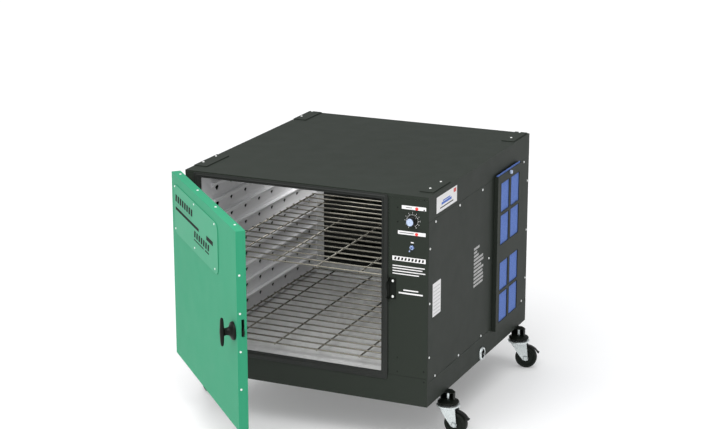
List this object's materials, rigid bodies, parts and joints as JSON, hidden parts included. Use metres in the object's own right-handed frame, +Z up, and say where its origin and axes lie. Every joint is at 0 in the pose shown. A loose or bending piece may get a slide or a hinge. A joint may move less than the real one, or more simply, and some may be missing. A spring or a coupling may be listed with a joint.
{
  "type": "drying cabinet",
  "caption": "Floor-standing drying cabinet on swivel casters, with a hinged door, wire racks, a slide-in side filter and a front control strip.",
  "frame": {"origin": "on the floor, under the middle of the overall bounding box, the open door included", "axes": "+Z up, -Y out through the door opening, +X to the side with the controls and the filter"},
  "size_m": [1.069, 1.5396, 0.862],
  "materials": {
    "charcoal": "satin powder coat, fine grain",
    "door_green": "satin powder coat",
    "badge": "satin enamel",
    "rubber": "satin, softly moulded",
    "liner_steel": "dull mill finish, perforated",
    "galvanised": "dull zinc coat",
    "shelf_wire": "bright drawn wire, warm nickel tint",
    "zinc": "bright zinc plate",
    "wheel": "moulded, smooth tread",
    "black_plastic": "moulded",
    "black_metal": "satin black",
    "knob_cap": "satin anodised",
    "nickel": "bright plate",
    "lamp_red": "clear red lens",
    "filter_blue": "soft non-woven fibre",
    "heater_sheath": "heat tinted"
  },
  "bodies": {
    "cabinet": {"base_pan": "charcoal", "top_panel": "charcoal", "left_side_panel": "charcoal", "right_side_panel": "charcoal", "rear_panel": "charcoal", "front_frame": "charcoal", "control_panel": "charcoal", "door_gasket": "rubber", "left_liner": "liner_steel", "right_liner": "liner_steel", "chamber_floor": "galvanised", "chamber_ceiling": "galvanised", "rear_liner": "galvanised", "air_baffle": "liner_steel", "blower_housing": "galvanised", "blower_motor": "galvanised", "heater_element": "heater_sheath", "thermostat_body": "black_plastic", "toggle_switch_body": "nickel", "indicator_lamp_upper": "lamp_red", "indicator_lamp_lower": "lamp_red", "strike_plate": "black_metal", "filter_holder": "charcoal", "power_inlet": "zinc", "body_hinge_lower": "black_metal", "body_hinge_upper": "black_metal", "corner_plate_front_left": "charcoal", "corner_plate_rear_left": "charcoal", "corner_plate_rear_right": "charcoal", "corner_plate_front_right": "charcoal", "caster_socket_front_right": "black_metal", "caster_socket_rear_right": "black_metal", "caster_socket_front_left": "black_metal", "caster_socket_rear_left": "black_metal"},
    "door": {"door_skin": "door_green", "door_inner_panel": "galvanised", "door_badge_plate": "badge", "door_hinge_lower": "black_metal", "door_hinge_upper": "black_metal"},
    "door_latch": {"t_handle": "black_metal", "latch_cam": "black_metal"},
    "temperature_knob": {"thermostat_knob": "knob_cap"},
    "power_toggle": {"toggle_lever": "nickel"},
    "filter_medium": {"filter_pad": "filter_blue"},
    "filter_screw": {"filter_thumbscrew": "knob_cap"},
    "impeller": {"blower_impeller": "black_plastic"},
    "lower_rack": {"lower_shelf": "shelf_wire"},
    "upper_rack": {"upper_shelf": "shelf_wire"},
    "fork_front_right": {"caster_fork_front_right": "zinc"},
    "wheel_front_right": {"caster_wheel_front_right": "wheel"},
    "pedal_front_right": {"brake_pedal_front_right": "black_plastic"},
    "fork_rear_right": {"caster_fork_rear_right": "zinc"},
    "wheel_rear_right": {"caster_wheel_rear_right": "wheel"},
    "pedal_rear_right": {"brake_pedal_rear_right": "black_plastic"},
    "fork_front_left": {"caster_fork_front_left": "zinc"},
    "wheel_front_left": {"caster_wheel_front_left": "wheel"},
    "pedal_front_left": {"brake_pedal_front_left": "black_plastic"},
    "fork_rear_left": {"caster_fork_rear_left": "zinc"},
    "wheel_rear_left": {"caster_wheel_rear_left": "wheel"},
    "pedal_rear_left": {"brake_pedal_rear_left": "black_plastic"}
  },
  "joints": [
    {"name": "door_swing", "type": "hinge", "parent": "cabinet", "child": "door", "pos_m": [-0.44993, -0.19718, 0.5], "axis": [0, 0, -1], "range_deg": [-46, 74]},
    {"name": "handle_turn", "type": "hinge", "parent": "door", "child": "door_latch", "pos_m": [0.01878, -0.73365, 0.527], "axis": [-0.7193, -0.6947, 0], "range_deg": [0, 36]},
    {"name": "temperature_dial", "type": "hinge", "parent": "cabinet", "child": "temperature_knob", "pos_m": [0.38307, -0.19518, 0.777], "axis": [0, 1, 0], "range_deg": [0, 300]},
    {"name": "toggle_flip", "type": "hinge", "parent": "cabinet", "child": "power_toggle", "pos_m": [0.38307, -0.20158, 0.688], "axis": [-1, 0, 0], "range_deg": [0, 40]},
    {"name": "filter_lift", "type": "slide", "parent": "cabinet", "child": "filter_medium", "axis": [0, 0, 1], "range_m": [0, 0.55]},
    {"name": "filter_screw_turn", "type": "hinge", "parent": "cabinet", "child": "filter_screw", "pos_m": [0.45407, 0.52582, 0.775], "axis": [1, 0, 0], "continuous": true},
    {"name": "impeller_spin", "type": "hinge", "parent": "cabinet", "child": "impeller", "pos_m": [0.35907, 0.53982, 0.481], "axis": [1, 0, 0], "continuous": true},
    {"name": "lower_rack_slide", "type": "slide", "parent": "cabinet", "child": "lower_rack", "axis": [0, -1, 0], "range_m": [0, 0.095]},
    {"name": "upper_rack_slide", "type": "slide", "parent": "cabinet", "child": "upper_rack", "axis": [0, -1, 0], "range_m": [0, 0.095]},
    {"name": "swivel_front_right", "type": "hinge", "parent": "cabinet", "child": "fork_front_right", "pos_m": [0.44907, -0.02918, 0.12], "axis": [0, 0, 1], "continuous": true},
    {"name": "roll_front_right", "type": "hinge", "parent": "fork_front_right", "child": "wheel_front_right", "pos_m": [0.47805, -0.03019, 0.04], "axis": [0.0349, 0.9994, 0], "continuous": true},
    {"name": "brake_front_right", "type": "hinge", "parent": "fork_front_right", "child": "pedal_front_right", "pos_m": [0.47505, -0.03009, 0.0853], "axis": [0.0349, 0.9994, 0], "range_deg": [0, 8]},
    {"name": "swivel_rear_right", "type": "hinge", "parent": "cabinet", "child": "fork_rear_right", "pos_m": [0.45007, 0.67182, 0.12], "axis": [0, 0, 1], "continuous": true},
    {"name": "roll_rear_right", "type": "hinge", "parent": "fork_rear_right", "child": "wheel_rear_right", "pos_m": [0.47854, 0.67735, 0.04], "axis": [-0.1908, 0.9816, 0], "continuous": true},
    {"name": "brake_rear_right", "type": "hinge", "parent": "fork_rear_right", "child": "pedal_rear_right", "pos_m": [0.47559, 0.67678, 0.0853], "axis": [-0.1908, 0.9816, 0], "range_deg": [0, 8]},
    {"name": "swivel_front_left", "type": "hinge", "parent": "cabinet", "child": "fork_front_left", "pos_m": [-0.45093, -0.02918, 0.12], "axis": [0, 0, 1], "continuous": true},
    {"name": "roll_front_left", "type": "hinge", "parent": "fork_front_left", "child": "wheel_front_left", "pos_m": [-0.47315, -0.01054, 0.04], "axis": [-0.6428, -0.766, 0], "continuous": true},
    {"name": "brake_front_left", "type": "hinge", "parent": "fork_front_left", "child": "pedal_front_left", "pos_m": [-0.47085, -0.01247, 0.0853], "axis": [-0.6428, -0.766, 0], "range_deg": [0, 8]},
    {"name": "swivel_rear_left", "type": "hinge", "parent": "cabinet", "child": "fork_rear_left", "pos_m": [-0.45193, 0.67182, 0.12], "axis": [0, 0, 1], "continuous": true},
    {"name": "roll_rear_left", "type": "hinge", "parent": "fork_rear_left", "child": "wheel_rear_left", "pos_m": [-0.47918, 0.68174, 0.04], "axis": [-0.342, -0.9397, 0], "continuous": true},
    {"name": "brake_rear_left", "type": "hinge", "parent": "fork_rear_left", "child": "pedal_rear_left", "pos_m": [-0.47636, 0.68071, 0.0853], "axis": [-0.342, -0.9397, 0], "range_deg": [0, 8]}
  ]
}
